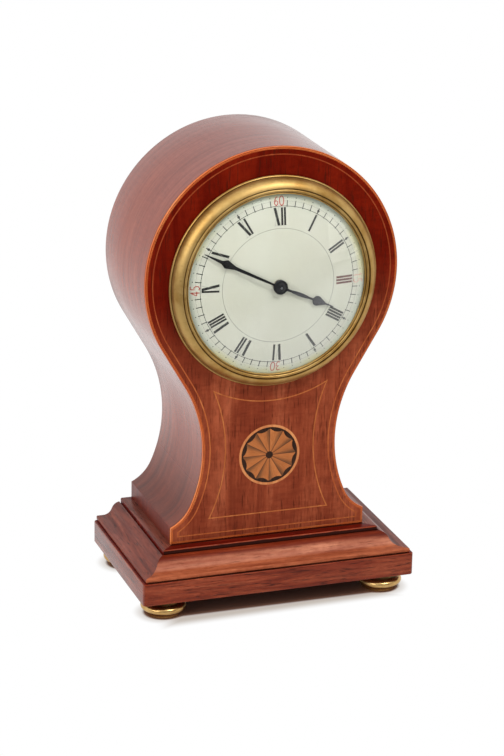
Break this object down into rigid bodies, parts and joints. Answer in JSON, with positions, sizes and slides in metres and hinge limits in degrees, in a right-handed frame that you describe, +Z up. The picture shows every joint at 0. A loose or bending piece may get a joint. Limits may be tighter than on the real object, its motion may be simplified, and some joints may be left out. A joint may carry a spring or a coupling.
{
  "type": "balloon clock",
  "caption": "Inlaid mahogany balloon mantel clock on a moulded plinth with brass bun feet, convex dial under domed glass and a spring movement wound from the rear.",
  "frame": {"origin": "centre of the bounding box on the surface that the feet stand on", "axes": "+Z up, the dial faces -Y, +X to the viewer's right"},
  "size_m": [0.15, 0.0934, 0.2435],
  "materials": {
    "mahogany": "french polished",
    "mahogany_dark": "french polished",
    "boxwood": "polished",
    "shaded_wood": "sand shaded, polished",
    "ebony": "polished",
    "brass": "lacquered, lightly tarnished",
    "movement_brass": "grained",
    "steel": "polished",
    "blued_steel": "satin",
    "enamel": "gloss",
    "glass": "clear, domed"
  },
  "bodies": {
    "case": {"front_board": "mahogany", "case_band": "mahogany", "case_floor": "mahogany_dark", "back_board": "mahogany_dark", "edge_stringing": "boxwood", "inner_stringing": "boxwood", "panel_stringing": "boxwood", "patera_ring": "boxwood", "patera_ground": "ebony", "patera_petals": "boxwood", "patera_shading": "shaded_wood", "patera_eye": "ebony", "plinth_slab": "mahogany", "plinth_top": "mahogany_dark", "moulding_front": "mahogany", "moulding_left": "mahogany", "moulding_right": "mahogany", "foot_front_left": "brass", "foot_front_right": "brass", "foot_back_left": "brass", "foot_back_right": "brass", "case_screws": "steel", "front_bezel": "brass", "dial_glass": "glass", "dial": "enamel", "dial_plate": "movement_brass", "front_plate": "movement_brass", "back_plate": "movement_brass", "pillars": "movement_brass", "movement_screws": "steel", "click_spring": "steel", "platform": "movement_brass", "escape_cock": "movement_brass", "balance_cock": "movement_brass", "rear_ring": "brass", "door_pin": "steel", "straps": "brass", "strap_screws": "steel"},
    "rear_door": {"rear_door": "brass"},
    "hand_setting": {"centre_arbor": "steel", "cannon_pinion": "steel", "minute_hand": "blued_steel", "hand_collet": "blued_steel"},
    "minute_wheel": {"minute_wheel": "movement_brass"},
    "hour_wheel": {"hour_wheel": "movement_brass", "hour_hand": "blued_steel"},
    "winding": {"winding_arbor": "steel", "ratchet_wheel": "steel"},
    "click": {"click": "steel"},
    "barrel": {"barrel": "movement_brass", "barrel_cap": "movement_brass", "mainspring": "steel"},
    "centre_wheel": {"centre_wheel": "movement_brass"},
    "third_wheel": {"third_wheel": "movement_brass"},
    "fourth_wheel": {"fourth_wheel": "movement_brass"},
    "escape_wheel": {"escape_wheel": "steel"},
    "pallet_lever": {"pallet_lever": "steel"},
    "balance": {"balance_wheel": "movement_brass", "hairspring": "steel"},
    "regulator": {"regulator_index": "steel"}
  },
  "joints": [
    {"name": "rear_door_swing", "type": "hinge", "parent": "case", "child": "rear_door", "pos_m": [-0.0488, 0.04412, 0.17277], "axis": [0, 0, 1], "range_deg": [0, 115]},
    {"name": "hand_setting_turn", "type": "hinge", "parent": "case", "child": "hand_setting", "pos_m": [0, 0.0124, 0.17277], "axis": [0, 1, 0], "continuous": true},
    {"name": "minute_wheel_turn", "type": "hinge", "parent": "case", "child": "minute_wheel", "pos_m": [-0.01039, 0.0124, 0.17877], "axis": [0, 1, 0], "continuous": true},
    {"name": "hour_wheel_turn", "type": "hinge", "parent": "case", "child": "hour_wheel", "pos_m": [0, 0.0124, 0.17277], "axis": [0, 1, 0], "continuous": true},
    {"name": "winding_turn", "type": "hinge", "parent": "case", "child": "winding", "pos_m": [0, 0.0124, 0.15365], "axis": [0, 1, 0], "continuous": true},
    {"name": "click_lift", "type": "hinge", "parent": "case", "child": "click", "pos_m": [0.00987, 0.0124, 0.15724], "axis": [0, -1, 0], "range_deg": [0, 8], "stiffness_Nm_per_rad": 0.00002, "springref_deg": -20.05},
    {"name": "fourth_wheel_turn", "type": "hinge", "parent": "case", "child": "fourth_wheel", "pos_m": [0.00635, 0.0124, 0.19057], "axis": [0, 1, 0], "continuous": true},
    {"name": "escape_wheel_turn", "type": "hinge", "parent": "case", "child": "escape_wheel", "pos_m": [-0.00457, 0.0124, 0.19057], "axis": [0, 1, 0], "continuous": true},
    {"name": "third_wheel_turn", "type": "hinge", "parent": "case", "child": "third_wheel", "pos_m": [0.01247, 0.0124, 0.17997], "axis": [0, 1, 0], "continuous": true},
    {"name": "centre_wheel_turn", "type": "hinge", "parent": "case", "child": "centre_wheel", "pos_m": [0, 0.0124, 0.17277], "axis": [0, 1, 0], "continuous": true},
    {"name": "barrel_turn", "type": "hinge", "parent": "case", "child": "barrel", "pos_m": [0, 0.0124, 0.15365], "axis": [0, 1, 0], "continuous": true},
    {"name": "pallet_lever_rock", "type": "hinge", "parent": "case", "child": "pallet_lever", "pos_m": [-0.00987, 0.0124, 0.19057], "axis": [0, 1, 0], "range_deg": [-3.5, 3.5]},
    {"name": "balance_swing", "type": "hinge", "parent": "case", "child": "balance", "pos_m": [-0.01667, 0.0124, 0.19057], "axis": [0, 1, 0], "range_deg": [-140, 140], "stiffness_Nm_per_rad": 0.0000035},
    {"name": "regulator_turn", "type": "hinge", "parent": "case", "child": "regulator", "pos_m": [-0.01667, 0.0124, 0.19057], "axis": [0, 1, 0], "range_deg": [-20, 20]}
  ],
  "couplings": [
    {"joint": "minute_wheel_turn", "follows": "hand_setting_turn", "ratio": -0.33333},
    {"joint": "hour_wheel_turn", "follows": "hand_setting_turn", "ratio": 0.083333},
    {"joint": "escape_wheel_turn", "follows": "fourth_wheel_turn", "ratio": -8.3333},
    {"joint": "third_wheel_turn", "follows": "fourth_wheel_turn", "ratio": -0.125},
    {"joint": "centre_wheel_turn", "follows": "fourth_wheel_turn", "ratio": 0.013889},
    {"joint": "barrel_turn", "follows": "fourth_wheel_turn", "ratio": -0.0017361}
  ]
}
